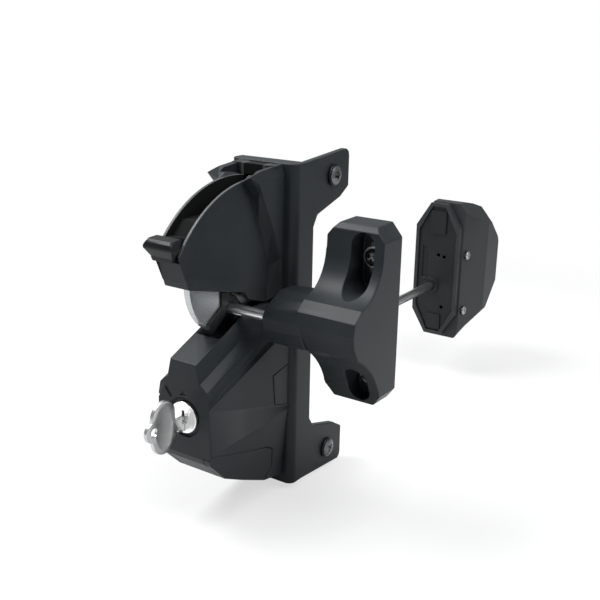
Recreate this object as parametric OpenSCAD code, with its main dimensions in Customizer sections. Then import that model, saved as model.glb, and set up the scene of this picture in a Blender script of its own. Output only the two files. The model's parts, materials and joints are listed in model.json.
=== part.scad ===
// Gate latch with a rotary cam, a keyed lock, an outside key unit and a striker.
// X runs across the gate gap towards the striker, Y into the post, Z up.
// The origin lies on the post's front face, on the latch's centre plane, level with the striker pin.

/* [Base] */
// Distance from the centre plane to the base's free edge
base_left = 22; // [20.5:0.5:26]
// Distance from the centre plane to the post's corner, where the flange turns back
corner_x = 19; // [17.5:0.5:24]
// Height of the base
base_h = 195; // [190:1:205]
// Height of the base's top edge above the pin
base_top = 77.5; // [77:0.5:82]
// Thickness of the base on the post's front face
base_t = 11; // [9:0.5:13]
// Thickness of the flange on the post's side face
flange_t = 4.5; // [3.5:0.5:6]
// Depth of the flange between its two screw tabs
flange_d = 8; // [6:0.5:12]
// Depth of each screw tab
tab_d = 45; // [40:1:52]
// Height of each screw tab at its outer edge
tab_h = 22; // [20:1:28]
// Radius of the base's outer corner pillar
pillar_r = 5; // [3:0.5:8]
// Distance between the two side screws
screw_span = 174; // [168:1:180]
// Depth of the side screws behind the post's front face
screw_y = 27.5; // [24:0.5:32]

/* [Upper housing] */
// Radius of the round top of the upper housing
arc_r = 72.6; // [70:0.2:74]
// Depth of the round top's centre in front of the post
arc_y = 29.8; // [28:0.2:32]
// Height of the round top's centre
arc_z = -1.7; // [-3:0.1:0]
// Half width of the front part of the upper housing
cheek_hw = 9.4; // [9:0.1:11]
// Half width of the rear part of the upper housing
rear_hw = 16; // [14:0.5:18]
// Width of the lever slot
slot_w = 13; // [12.4:0.1:14]
// Distance of the nose's front top edge from the post
nose_y = 89; // [87:0.5:92]
// Height of the nose's top edge, where the lever rests
nose_top = 36; // [34:0.5:38]
// Height of the nose's bottom edge
nose_bottom = 20.5; // [18:0.5:22]

/* [Lower housing] */
// Distance of the lock face from the post
face_y = 80; // [78:0.5:84]
// Half width of the lower housing at its lock face
face_hw = 18; // [16.5:0.5:20]
// Half width of the lower housing beside the base
body_hw = 19.5; // [18:0.5:21]
// Height of the lower jaw's front edge
jaw_z = -21.2; // [-24:0.2:-20]
// Rise of the lower jaw towards the post in degrees
jaw_rise = 23; // [20:0.5:25]
// Height of the lower housing's bottom edge beside the base
body_bottom = -112; // [-115:0.5:-108]

/* [Cam] */
// Distance of the cam's pivot from the post
pivot_y = 38; // [37:0.25:40]
// Height of the cam's pivot above the striker pin
pivot_z = 14.5; // [13.5:0.25:16]
// Diameter of the cam's pivot pin
pivot_d = 6; // [5:0.1:7]
// Thickness of the steel cam plate
cam_t = 4; // [3:0.2:5]
// Radius of the cam plate's round front
cam_r = 33; // [31:0.25:33.5]
// Radius of the cam behind its pivot
cam_back_r = 24; // [20:0.5:26]
// Width of the cam's moulded lining over the plate
liner_w = 6.4; // [5.4:0.2:8]
// Thickness of the lining round the pin's notch
liner_t = 4; // [3:0.2:5]
// Angle of the lever's full lift in degrees
lift_deg = 70; // [60:1:72]
// Travel of the striker while the lever is lifted
striker_travel = 22; // [18:0.5:24]
// Clearance of the striker pin in its notch
notch_gap = 0.4; // [0.3:0.05:0.8]

/* [Thumb lever] */
// Width of the lever's thumb pad
thumb_w = 20; // [18:0.5:24]
// Reach of the thumb pad from the cam's pivot
thumb_r = 67; // [65:0.5:72]
// Clearance of the lever and the cam beside the cheeks
side_gap = 0.6; // [0.4:0.05:0.8]

/* [Lock] */
// Height of the lock cylinder's axis
lock_z = -53; // [-55:0.5:-51]
// Diameter of the lock plug's face
plug_face_d = 18; // [17:0.25:20]
// Diameter of the lock plug in its barrel
plug_d = 16.5; // [16:0.25:17]
// Outside diameter of the lock barrel
barrel_d = 21; // [20:0.25:21.5]
// Length of the lock barrel
barrel_l = 26; // [22:0.5:30]
// Thickness of the key
key_t = 2.2; // [1.8:0.1:2.4]
// Height of the key's bow
bow_h = 30; // [26:0.5:32]
// Distance of the bow's middle from the lock face
bow_reach = 15.9; // [14:0.1:19]
// Length of the key's blade
blade_l = 22; // [18:0.5:24]
// Rise of the locking bolt for a quarter turn of the key
bolt_rise = 4; // [3:0.25:4.5]

/* [Outside unit] */
// Height of the drive rod's axis
rod_z = -47.7; // [-49:0.1:-46.5]
// Diameter of the drive rod
rod_d = 6.5; // [5.5:0.1:7]
// Distance from the post's front face to the outside unit
unit_y = 214; // [150:1:230]
// Width of the outside unit at its back
unit_w = 37; // [36:0.5:40]
// Height of the outside unit
unit_h = 106; // [102:0.5:112]
// Depth of the outside unit
unit_d = 62; // [58:0.5:66]
// Offset of the outside unit's middle from the rod, sideways
unit_dx = 4; // [3:0.5:6]
// Offset of the outside unit's middle above the rod
unit_dz = 13.5; // [12:0.5:16]

/* [Striker] */
// Distance from the centre plane to the striker's near side
striker_x = 50; // [48:0.5:53]
// Width of the striker on the gate
striker_w = 35; // [34:0.5:38]
// Height of the striker
striker_h = 100; // [99:0.5:103]
// Height of the striker's top edge
striker_top = 52; // [50:0.5:54]
// Reach of the striker's nose from the gate
striker_reach = 48; // [47.5:0.25:49]
// Height of the striker's arm
arm_h = 27; // [25:0.5:28]
// Distance from the centre plane to the arm's free end
arm_x = 28; // [26:0.5:32]
// Diameter of the striker pin
pin_d = 6.2; // [5.8:0.1:6.4]
// Distance of the striker pin's axis from the post
pin_y = 42.8; // [42.4:0.1:43.2]
// Length of the striker pin past the centre plane
pin_past = 7; // [5:0.5:8]
// Width of the striker's adjustment slots
slot_bore = 6; // [5.5:0.1:6.5]

/* [Hidden] */
$fn = 64;
eps = 0.01;
run_gap = 0.05;
fit_gap = 0.15;
black = [0.20, 0.21, 0.22];
dark = [0.13, 0.14, 0.15];
steel = [0.62, 0.63, 0.65];
bright = [0.80, 0.80, 0.81];
base_low = base_top - base_h;
base_mid = base_top - base_h / 2;
flange_x = corner_x + flange_t;
arm_out = slot_w / 2 - side_gap;
pin_r = pin_d / 2;
notch_r = pin_r + notch_gap;
slide_ratio = striker_travel / (lift_deg * PI / 180);
cam_cy = -pivot_y - 5;
cam_cz = pivot_z + 5;
tab_r = sqrt(pow(arc_y - pivot_y, 2) + pow(arc_z - pivot_z, 2)) + 41;
lock_front = -face_y - 0.6;
barrel_back = -face_y + 1.6 + barrel_l;
crank_e = bolt_rise / sqrt(2);
bolt_top = -19.6;
unit_x = unit_dx;
unit_mid = rod_z + unit_dz;
mount_x = striker_x + striker_w * 0.64;
striker_low = striker_top - striker_h;
screw_high = striker_top - 19;
screw_low = striker_low + 15;
nose_lip = [-nose_y + 5.7, nose_bottom];

// A Y-Z outline drawn out along X
module across(x0, x1) {
  translate([x0, 0, 0])
    rotate([90, 0, 90])
      linear_extrude(x1 - x0) children();
}

// An X-Z outline drawn out along Y
module along(y0, y1) {
  translate([0, y1, 0])
    rotate([90, 0, 0])
      linear_extrude(y1 - y0) children();
}

// A round bar along X
module bar_x(x0, x1, y, z, r) {
  translate([x0, y, z])
    rotate([0, 90, 0])
      cylinder(r = r, h = x1 - x0);
}

// A round bar along Y
module bar_y(y0, y1, x, z, r) {
  translate([x, y1, z])
    rotate([90, 0, 0])
      cylinder(r = r, h = y1 - y0);
}

module block(a, b) {
  translate(a)
    cube([b[0] - a[0], b[1] - a[1], b[2] - a[2]]);
}

module both_sides() {
  children();
  mirror([1, 0, 0])
    children();
}

// A solid between a Y-Z outline at x0 and a matching one at x1, each star-shaped about its first point
module loft(a, x0, b, x1) {
  n = len(a);
  pts = concat([for (p = a) [x0, p[0], p[1]]], [for (p = b) [x1, p[0], p[1]]]);
  low = [for (i = [0 : n - 1]) [i, n + i, (i + 1) % n]];
  high = [for (i = [0 : n - 1]) [(i + 1) % n, n + i, n + (i + 1) % n]];
  near = [for (i = [1 : n - 2]) [0, i, i + 1]];
  far = [for (i = [1 : n - 2]) [n, n + i + 1, n + i]];
  polyhedron(points = pts, faces = concat(near, low, high, far));
}

// An upright slot outline
module upright_slot(x, z0, z1, r) {
  translate([x, z0])
    circle(r);
  translate([x, z1])
    circle(r);
  translate([x - r, z0])
    square([2 * r, z1 - z0]);
}

// Where the cam meets the striker pin, in the cam's rest position
function pin_path(t) =
  let (y = pivot_y - pin_y - slide_ratio * t * PI / 180, z = -pivot_z)
  [-pivot_y + y * cos(t) - z * sin(t), pivot_z + y * sin(t) + z * cos(t)];

function path_side(t) =
  let (a = pin_path(t - 0.5), b = pin_path(t + 0.5), d = b - a)
  [-d[1], d[0]] / norm(d);

// The notch swept by the pin, widened to r; its rear wall starts at the given step
module notch_sweep(r, first) {
  steps = 16;
  turn = lift_deg / steps;
  front = [for (i = [0 : steps]) pin_path(turn * i) - r * path_side(turn * i)];
  rear = [for (i = [steps : -1 : first]) pin_path(turn * i) + r * path_side(turn * i)];
  polygon(concat(front, rear, [pin_path(0)]));
  translate(pin_path(0))
    circle(r);
}

module notch_mouth() {
  polygon([[-46.2, -2.6], [-59.6, -11.9], [-66, -22], [-30, -40], [-26, -24], [-36, -13], [-42, -1.5]]);
}

module cam_outline() {
  intersection() {
    translate([cam_cy, cam_cz])
      circle(cam_r);
    polygon([[-pivot_y, pivot_z], [-51, 40], [-64, 62], [-95, 50], [-95, -30], [-20, -30], [-26.5, -8]]);
  }
  translate([-pivot_y, pivot_z])
    circle(cam_back_r);
}

module liner_zone() {
  notch_sweep(notch_r + liner_t, 7);
  polygon([[-50.6, 10.5], [-50.6, 2.5], [-61.9, -4.6], [-61.4, -8], [-59.4, -11.4], [-44, -1], [-42, 4],
           [-42, 9]]);
}

module base_plan() {
  translate([-base_left + pillar_r, -base_t])
    square([base_left + flange_x - 2 * pillar_r, base_t]);
  translate([-base_left, -base_t + pillar_r])
    square([base_left + flange_x, base_t - pillar_r]);
  translate([-base_left + pillar_r, -base_t + pillar_r])
    circle(pillar_r);
  translate([flange_x - pillar_r, -base_t + pillar_r])
    circle(pillar_r);
}

module flange_half() {
  h = base_h / 2;
  polygon([[-1, -1], [-1, h - 1], [0, h], [tab_d - 3, h + 3.4], [tab_d - 0.6, h + 1.6], [tab_d, h - 1],
           [tab_d, h + 3 - tab_h], [tab_d - 9, h - 24.5], [flange_d + 4, h - 31.5],
           [flange_d, h - 38], [flange_d, -1]]);
}

module screw_well(x, z) {
  bar_y(-base_t - 1, 1, x, z, 2.3);
  bar_y(-5, 1, x, z, 4.2);
}

module housing_screw_points() {
  for (x = [-11, 11], z = [base_top - 41.5, base_top - 15.5])
    translate([x, 0, z])
      children();
  for (x = [-14, 14], z = [-26, base_low + 21.5])
    translate([x, 0, z])
      children();
}

module base_plate() {
  color(black)
  difference() {
    union() {
      translate([0, 0, base_low])
        linear_extrude(base_h)
          base_plan();
      translate([0, 0, base_mid])
        across(corner_x, flange_x) {
          flange_half();
          mirror([0, 1])
            flange_half();
        }
    }
    // lightening pockets in the back
    for (z = [6, -88])
      block([-17, -6.5, z], [14, 1, z + 20]);
    block([-7, -base_t - 1, 4], [7, -4, 71]);
    bar_y(-base_t - 1, 1, 0, rod_z, rod_d / 2 + 1);
    housing_screw_points()
      screw_well(0, 0);
    for (s = [-1, 1])
      bar_x(corner_x - 1, flange_x + 1, screw_y, base_mid + s * screw_span / 2, 2.8);
  }
}

module upper_front() {
  polygon([[-nose_y - 4.5, 51], nose_lip + [-1.2, 3.4], nose_lip, [-37.6, 8.4], [-33.1, 3.5],
           [-17.4, -2.2], [-base_t, -2.2], [-base_t, 95], [-93.5, 95]]);
}

module upper_shell() {
  core = cheek_hw - 1.2;
  ridge_in = [[-base_t, 76.6], [-30.5, 74.6], [-38.6, 70.2], [-31.3, 61.6], [-24.9, 40.2],
              [-17.3, 17.7], [-17.4, -2.2], [-base_t, -2.2]];
  ridge_out = [[-base_t, 77.2], [-30.5, 75.4], [-40.5, 73.2], [-32.3, 64.5], [-21.2, 40.2],
               [-13.6, 23.7], [-12.6, 4], [-base_t, 4]];
  ridge_face = [[-base_t, 71], [-29.6, 70], [-34.2, 68.8], [-30.6, 62.2], [-20.2, 39.9],
                [-12.7, 23.3], [-11.8, 5.2], [-base_t, 5.2]];
  panel_low = [[-91.5, 40], nose_lip + [-1.2, 3.4], nose_lip, [-37.6, 8.4], [-17, 3.5], [-17, 80],
               [-91.5, 80]];
  panel_high = [[-78.5, 38], [-76.6, 27.2], [-75.2, 26.1], [-38.2, 17.4], [-17, 12.4], [-17, 80],
                [-79, 80]];
  across(-core, core)
    intersection() {
      upper_front();
      translate([-arc_y, arc_z])
        circle(arc_r);
    }
  both_sides() {
    intersection() {
      translate([core, -arc_y, arc_z])
        rotate([0, 90, 0])
          cylinder(r1 = arc_r, r2 = arc_r - 9, h = cheek_hw - core);
      loft(panel_low, core, panel_high, cheek_hw);
    }
    loft(ridge_in, core, ridge_out, 14.5);
    loft(ridge_out, 14.5, ridge_face, rear_hw);
  }
  block([-rear_hw + 1, -18.5, 60], [rear_hw - 1, -base_t, 76.6]);
}

module upper_housing() {
  s = slot_w / 2;
  color(black)
  difference() {
    upper_shell();
    // room for the lever and the cam, open at the back
    across(-s, s)
      polygon([[-79, -10], [-79, nose_top - 0.5], [-100, nose_top - 0.5], [-100, 95], [-18.5, 95],
               [-18.5, 70.5], [-5, 70.5], [-5, -10]]);
    // the lifted thumb pad swings past here
    across(-11.2, 11.2)
      difference() {
        translate([-52, 55])
          square([33.5, 40]);
        translate([-pivot_y, pivot_z])
          circle(tab_r - 0.5);
      }
    bar_x(-cheek_hw - 1, cheek_hw - 1.1, -pivot_y, pivot_z, pivot_d / 2 + run_gap);
    bar_x(-cheek_hw - 1, -cheek_hw + 1, -pivot_y, pivot_z, 5.15);
    for (x = [-11, 11], z = [base_top - 41.5, base_top - 15.5])
      bar_y(-18, -base_t + 1, x, z, 1.75);
  }
}

module lower_shell() {
  run = cos(jaw_rise);
  translate([0, -face_y, jaw_z])
    rotate([jaw_rise, 0, 0])
      along(-40, 110)
        polygon([[-9, 0], [9, 0], [11.5, -9.7], [16.5, -13.4], [18, -20.4], [17.2, -21.6], [21.5, -23],
                 [21.5, -150 * run], [-21.5, -150 * run], [-21.5, -23], [-17.2, -21.6], [-18, -20.4],
                 [-16.5, -13.4], [-11.5, -9.7]]);
}

module lower_side() {
  b = body_bottom;
  polygon([[-face_y, 10], [-face_y, -75], [-78.5, -78.5], [-66, -91], [-50, b + 13], [-39, b + 8],
           [-28, b + 3], [-base_t, b], [-base_t, -2.2], [-35, -2.2], [-60, 10]]);
}

module lower_plan() {
  w = body_hw + 1;
  polygon([[-face_hw, -face_y - 1], [face_hw, -face_y - 1], [w, -base_t], [w, 0], [-w, 0],
           [-w, -base_t]]);
}

module foot_side(g) {
  polygon([[-77 + g, -73 - g], [-28, -86.5 - g], [-23 - g, -89.5], [-22 - g, -101.5], [-27, -106.5],
           [-30, -130], [-100, -130], [-100, -80]]);
}

module cap_side(g) {
  polygon([[-25.8 + g, -41.8 - g], [-base_t - 0.4 - g, -38.6 - g], [-base_t - 0.4 - g, -64 + g],
           [-24.1 + g, -60.6 + g]]);
}

module lower_block() {
  intersection() {
    lower_shell();
    across(-40, 40)
      lower_side();
    translate([0, 0, -150])
      linear_extrude(200)
        lower_plan();
    // the sides lean in below a crease
    translate([0, -face_y, -59.7])
      rotate([-9.7, 0, 0])
        along(-40, 110)
          polygon([[-30, 90], [30, 90], [30, 8], [20.9, 8], [15.5, -46], [13, -80], [-13, -80],
                   [-15.5, -46], [-20.9, 8], [-30, 8]]);
  }
}

module lower_housing() {
  s = slot_w / 2;
  color(black)
  difference() {
    lower_block();
    // open channel under the cam
    across(-s, s)
      polygon([[-59.5, -17], [-59.5, 10], [0, 10], [0, -17]]);
    translate([0, -face_y, jaw_z])
      rotate([jaw_rise, 0, 0])
        along(22.3, 110)
          polygon([[-8.6, 1], [-8.6, 0], [-s, -3.4], [s, -3.4], [8.6, 0], [8.6, 1]]);
    // places for the foot pads and the side caps
    both_sides() {
      across(13.2, 30)
        foot_side(0);
      across(18.4, 30)
        cap_side(0);
    }
    // lock
    bar_y(-face_y - 1, -face_y + 1, 0, lock_z, barrel_d / 2 + 0.9);
    bar_y(-face_y - 1, barrel_back, 0, lock_z, barrel_d / 2 + run_gap);
    bar_y(barrel_back - 1, barrel_back + 3.6, 0, lock_z, 6);
    block([-12.2, -60.2, lock_z - 16], [12.2, -58.4, lock_z + 3]);
    // bolt chamber and the way in for the rod
    block([-5.3, -50.1, -62.5], [5.3, -37.6, -10]);
    bar_y(-38, -35, 0, rod_z, 5.2);
    bar_y(-36, 0, 0, rod_z, rod_d / 2 + run_gap);
    // key position marks
    translate([-10.6, 0, lock_z + 12.6])
      rotate([0, -38, 0])
        block([-1.1, -face_y - 1, -3.4], [1.1, -face_y + 0.7, 3.4]);
    along(-face_y - 1, -face_y + 0.7)
      polygon([[-2.8, lock_z + 12.2], [2.2, lock_z + 12.2], [-0.3, lock_z + 15.6]]);
    for (x = [-14, 14], z = [-26, base_low + 21.5])
      bar_y(-18, -base_t + 1, x, z, 1.75);
  }
}

module housing_screws() {
  color(steel)
  housing_screw_points() {
    bar_y(-17.5, -4.8, 0, 0, 1.7);
    difference() {
      bar_y(-5, -2, 0, 0, 3.8);
      block([-2, -2.8, -0.4], [2, -1, 0.4]);
      block([-0.4, -2.8, -2], [0.4, -1, 2]);
    }
  }
}

module side_caps() {
  color(black)
  both_sides()
    across(18.4, 20.4)
      cap_side(fit_gap);
}

module foot_pads() {
  color(black)
  both_sides()
    intersection() {
      across(13.2, 17.6)
        foot_side(fit_gap);
      across(0, 30)
        lower_side();
      translate([0, -face_y, -59.7])
        rotate([-9.7, 0, 0])
          along(-40, 110)
            polygon([[0, 20], [20.7, 10], [15.3, -46], [12.8, -80], [0, -80]]);
    }
}

module post_screws() {
  color(bright)
  for (s = [-1, 1])
    translate([0, 0, base_mid + s * screw_span / 2])
      difference() {
        union() {
          bar_x(corner_x - 25, corner_x, screw_y, 0, 2.6);
          translate([corner_x, screw_y, 0])
            rotate([0, 90, 0])
              cylinder(r1 = 2.6, r2 = 2.7, h = flange_t + 1);
          bar_x(flange_x, flange_x + 2, screw_y, 0, 6.4);
          bar_x(flange_x + 1.9, flange_x + 3.4, screw_y, 0, 5);
        }
        block([flange_x + 1.6, screw_y - 3, -0.55], [flange_x + 5, screw_y + 3, 0.55]);
        block([flange_x + 1.6, screw_y - 0.55, -3], [flange_x + 5, screw_y + 0.55, 3]);
      }
}

module cam_pin() {
  color(steel)
  bar_x(-cheek_hw + 1, cheek_hw - 1.2, -pivot_y, pivot_z, pivot_d / 2);
}

module cam_pin_clip() {
  color(steel)
  difference() {
    bar_x(-cheek_hw, -cheek_hw + 1, -pivot_y, pivot_z, 5);
    block([-cheek_hw - 1, -pivot_y - 3, pivot_z - 0.5], [-cheek_hw + 0.4, -pivot_y + 3, pivot_z + 0.5]);
  }
}

module hub_bore(r) {
  bar_x(-20, 20, -pivot_y, pivot_z, r);
}

module cam_plate() {
  color(steel)
  difference() {
    across(-cam_t / 2, cam_t / 2)
      difference() {
        cam_outline();
        notch_sweep(notch_r + liner_t + run_gap, 7);
        notch_mouth();
        polygon([[-50.6, 10.6], [-50.6, 2.5], [-61.9, -4.6], [-75, -14], [-50, -40], [-30, -2],
                 [-42, 9.1]]);
      }
    hub_bore(pivot_d / 2 + run_gap);
    cam_rivet_points()
      bar_x(-20, 20, 0, 0, 2.05);
  }
}

module cam_liner() {
  color(dark)
  difference() {
    across(-liner_w / 2, liner_w / 2)
      difference() {
        intersection() {
          liner_zone();
          union() {
            cam_outline();
            polygon([[-63, -3], [-63, -14], [-50, -14], [-50, -3]]);
          }
        }
        notch_sweep(notch_r, 0);
        notch_mouth();
        translate([-pivot_y, pivot_z])
          circle(8.2);
      }
  }
}

module cam_rivet_points() {
  translate([0, -53.3, 27.4])
    children();
  translate([0, -52.9, 35.8])
    children();
}

module cam_washers() {
  color(steel)
  both_sides()
    difference() {
      bar_x(arm_out + run_gap, slot_w / 2 - run_gap, -pivot_y, pivot_z, 5.6);
      hub_bore(pivot_d / 2 + run_gap);
    }
}

module cam_rivets() {
  color(steel)
  cam_rivet_points()
    bar_x(-arm_out, arm_out, 0, 0, 2);
}

module lever_cheek() {
  difference() {
    union() {
      translate([-pivot_y, pivot_z])
        circle(7);
      polygon([[-33, 19.4], [-58, 53.9], [-71.6, 53.7], [-78.6, 47], [-88, 42.5], [-86.5, nose_top],
               [-79, nose_top], [-41.6, 8.5]]);
    }
    translate([-80, -2])
      square([30, 12]);
  }
}

module thumb_lever() {
  h = thumb_w / 2;
  color(dark)
  difference() {
    union() {
      both_sides()
        across(cam_t / 2 + run_gap, arm_out)
          lever_cheek();
      across(-arm_out, arm_out)
        difference() {
          union() {
            polygon([[-58, 53.9], [-71.6, 53.7], [-78.6, 47], [-86, 46.5], [-92, 43.5], [-91, nose_top],
                     [-79, nose_top], [-60, 24], [-50, 40]]);
          }
          translate([cam_cy, cam_cz])
            circle(cam_r + 1.2);
        }
      // thumb pad
      intersection() {
        along(-110, -60)
          polygon([[-h + 2.8, 50], [h - 2.8, 50], [h - 1.3, 46.6], [h - 0.4, 43.6], [h - 2.8, 38.6],
                   [h - 3.6, 34], [-h + 3.6, 34], [-h + 2.8, 38.6], [-h + 0.4, 43.6], [-h + 1.3, 46.6]]);
        across(-h, h)
          difference() {
            polygon([[-84, 46], [-86.3, 47.7], [-88.5, 48.2], [-95, 47.8], [-96.6, 46.4],
                     [-97.3, 43.6], [-93.9, 38.6], [-93, 34.8], [-92.2, 34.2], [-80, 34.2]]);
            translate([-pivot_y, pivot_z])
              circle(tab_r + 0.3);
          }
      }
    }
    hub_bore(pivot_d / 2 + run_gap);
    cam_rivet_points()
      bar_x(-20, 20, 0, 0, 2.05);
  }
}

module lock_barrel() {
  color(steel)
  difference() {
    bar_y(-face_y + 1.6, barrel_back, 0, lock_z, barrel_d / 2);
    bar_y(-face_y, barrel_back + 1, 0, lock_z, plug_d / 2 + run_gap);
    block([-20, -60.2, lock_z - 16], [-9.4, -58.4, lock_z + 3]);
    block([9.4, -60.2, lock_z - 16], [20, -58.4, lock_z + 3]);
  }
}

module barrel_clip() {
  color(steel)
  along(-60.1, -58.5)
    difference() {
      translate([-12, lock_z - 15.8])
        square([24, 18.6]);
      translate([-9.6, lock_z - 11.2])
        square([19.2, 20]);
    }
}

module keyway(g) {
  block([-key_t / 2 - g, -face_y - 3, lock_z - 7.4 - g], [key_t / 2 + g, -56, lock_z + 1.2 + g]);
}

module lock_plug() {
  color(bright)
  difference() {
    union() {
      bar_y(lock_front, -face_y + 1.4, 0, lock_z, plug_face_d / 2);
      bar_y(-face_y + 1.2, barrel_back - 0.1, 0, lock_z, plug_d / 2);
    }
    keyway(fit_gap);
    block([-0.8, -face_y - 3, lock_z], [0.8, -face_y + 1, lock_z + 3.8]);
  }
}

module key() {
  t = key_t / 2;
  bow_y = lock_front - bow_reach;
  bow_z = lock_z + 0.2;
  w = 8.8;
  color(bright)
  difference() {
    across(-t, t) {
      translate([bow_y, bow_z + bow_h / 2 - w])
        circle(w);
      translate([bow_y, bow_z - bow_h / 2 + w])
        circle(w);
      translate([bow_y - w, bow_z - bow_h / 2 + w])
        square([2 * w, bow_h - 2 * w]);
      translate([bow_y - 8, bow_z])
        circle(5.6);
      translate([bow_y, lock_z - 7.4])
        square([bow_reach + blade_l, 8.6]);
    }
    bar_x(-5, 5, bow_y - 7.6, bow_z, 2.4);
    for (i = [0 : 3]) {
      bar_x(t - 0.5, 5, lock_front - 5.5 + 4.6 * i, lock_z - 4.9 + (i % 2) * 3, 1.1);
      bar_x(-5, -t + 0.5, lock_front - 5.5 + 4.6 * i, lock_z - 1.9 - (i % 2) * 3, 1.1);
    }
  }
}

module lock_tail() {
  y = barrel_back - 0.1;
  color(steel) {
    bar_y(y, y + 1.8, 0, lock_z, 5.4);
    bar_y(y + 1.7, -46.4, crank_e * cos(45), lock_z - crank_e * sin(45), 1.4);
  }
}

module lock_bolt() {
  x = crank_e * cos(45);
  color(steel)
  difference() {
    block([-5, -49.8, -58.4], [5, -37.9, bolt_top]);
    block([x - 2.2, -50, lock_z - x - 1.75], [6, -46, lock_z - x + 1.75]);
    block([x - 2.2, -42, rod_z - x - 1.75], [6, -37, rod_z - x + 1.75]);
  }
}

module drive_rod() {
  x = crank_e * cos(45);
  color(steel) {
    bar_y(-36.4, unit_y + 34, 0, rod_z, rod_d / 2);
    bar_y(-37.6, -36.2, 0, rod_z, 4.9);
    bar_y(-41.7, -37.5, x, rod_z - x, 1.4);
  }
}

module unit_outline(g) {
  w = unit_w / 2 - g;
  h = unit_h / 2 - g;
  c = 0.4 * g;
  translate([unit_x, unit_mid])
    polygon([[-w, -h + 18.5 + c], [-w + 11.5 - c, -h], [w - 11.5 + c, -h], [w, -h + 18.5 + c],
             [w, h - 18.5 - c], [w - 11.5 + c, h], [-w + 11.5 - c, h], [-w, h - 18.5 - c]]);
}

module unit_wide(g) {
  w = unit_w / 2 + 8.5 - g;
  h = unit_h / 2 + 2 - g;
  c = 0.4 * g;
  translate([unit_x, unit_mid])
    polygon([[-w, -h + 30 + c], [-w + 21 - c, -h], [w - 10 + c, -h], [w, -h + 19 + c],
             [w, h - 20 - c], [w - 11.5 + c, h], [-w + 21 - c, h], [-w, h - 30 - c]]);
}

module unit_plan(g) {
  w = unit_w / 2 - g;
  d = unit_d - g;
  translate([unit_x, unit_y])
    polygon([[-w - 1.3, 5 + g], [-w - 8.5, 36], [-w - 8.5, d - 3], [-w - 6, d], [w + 6, d],
             [w + 8.5, d - 3], [w + 8.5, 36], [w + 1.3, 5 + g]]);
}

module unit_side(g) {
  h = unit_h / 2 - g;
  d = unit_d - g;
  translate([unit_y, unit_mid])
    polygon([[-1, -h - 1], [5.5, -h - 2.3], [15, -h + 6.7], [41.6, -h + 16.9], [d, -h + 39.6],
             [d, h - 43], [57, h - 32.1], [42, h - 17.8], [36, h - 5.3], [24, h - 1.3], [11, h + 1.5],
             [-1, h]]);
}

module unit_solid(g) {
  along(unit_y - 1, unit_y + 8)
    unit_outline(g);
  intersection() {
    along(unit_y, unit_y + unit_d)
      unit_wide(g);
    translate([0, 0, -150])
      linear_extrude(250)
        unit_plan(g);
    across(-60, 80)
      unit_side(g);
  }
}

module outside_cover() {
  color(black)
  difference() {
    union() {
      intersection() {
        unit_solid(0);
        translate([-60, unit_y, -150])
          cube([140, 90, 250]);
      }
      bar_y(unit_y + 36, unit_y + unit_d + 2, 0, rod_z, 12.5);
    }
    difference() {
      unit_solid(2.6);
      bar_y(unit_y + 30, unit_y + unit_d + 9, 0, rod_z, 12.5);
    }
    bar_y(unit_y + 20, unit_y + unit_d + 9, 0, rod_z, 10 + run_gap);
    outside_screw_points() {
      bar_x(-8, 9, 0, 0, 1.9);
      bar_x(2.85, 9, 0, 0, 3.7);
    }
  }
}

module outside_screw_points() {
  for (z = [-21, -66])
    translate([unit_x + unit_w / 2, unit_y + 10, z])
      children();
}

module outside_back() {
  y = unit_y + 1.6;
  w = unit_w / 2;
  color(dark)
  difference() {
    union() {
      along(y, y + 3)
        unit_outline(2.9);
      along(y - 1.2, y + 1)
        translate([unit_x - 6.6, unit_mid + unit_h / 2 - 24])
          square([13, 18]);
      along(y - 1.2, y + 1)
        translate([unit_x - 5.8, unit_mid - unit_h / 2 + 4.6])
          square([11.6, 12]);
      bar_y(y - 1.4, y + 9, 0, rod_z, 6.4);
      outside_screw_points()
        block([-9, -6, -2.6], [-4.8, 4, 4]);
    }
    bar_y(y - 3, y + 12, 0, rod_z, rod_d / 2 + 0.35);
    for (p = [[unit_x + 1, unit_mid + 12], [unit_x + 6, unit_mid + 11], [unit_x + 6, unit_mid - 30]])
      bar_y(y - 3, y + 5, p[0], p[1], 1.4);
    along(y - 1, y + 1)
      translate([unit_x - 12.5, unit_mid - 8])
        square([4, 26]);
    outside_screw_points()
      bar_x(-10, 0, 0, 0, 1.65);
  }
}

module outside_barrel() {
  y = unit_y + unit_d + 1.5;
  color(steel)
  difference() {
    bar_y(unit_y + 36, y, 0, rod_z, 10);
    bar_y(unit_y + 30, y + 1, 0, rod_z, 7 + run_gap);
  }
}

module outside_plug() {
  y = unit_y + unit_d + 1.7;
  color(bright)
  difference() {
    union() {
      bar_y(unit_y + 28, y, 0, rod_z, 7);
      bar_y(y, y + 1.6, 0, rod_z, 8.5);
    }
    bar_y(unit_y + 27, unit_y + 34 + run_gap, 0, rod_z, rod_d / 2 + run_gap);
    block([-1.2, y - 20, rod_z - 4.3], [1.2, y + 3, rod_z + 4.3]);
  }
}

module outside_screws() {
  color(steel)
  outside_screw_points()
    difference() {
      union() {
        bar_x(-8.6, 3, 0, 0, 1.6);
        bar_x(2.9, 5, 0, 0, 3.4);
      }
      block([4.2, -2, -0.4], [6, 2, 0.4]);
      block([4.2, -0.4, -2], [6, 0.4, 2]);
    }
}

module striker_side() {
  t = striker_top;
  b = striker_low;
  r = striker_reach;
  difference() {
    polygon([[0, t], [-16, t - 0.4], [-19.6, t - 3.4], [-20, 38.2], [-45.5, 38.2], [-45.5, 12.7],
             [-r + 1.2, 7], [-r + 0.1, 1], [-r + 1.1, -5], [-42.4, -13], [-18.8, -39], [-18.4, b + 2],
             [-16.5, b + 0.2], [0, b]]);
    translate([-45.5, 38.2])
      circle(25.5);
    translate([-66, -58.1])
      circle(50.8);
  }
}

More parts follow.
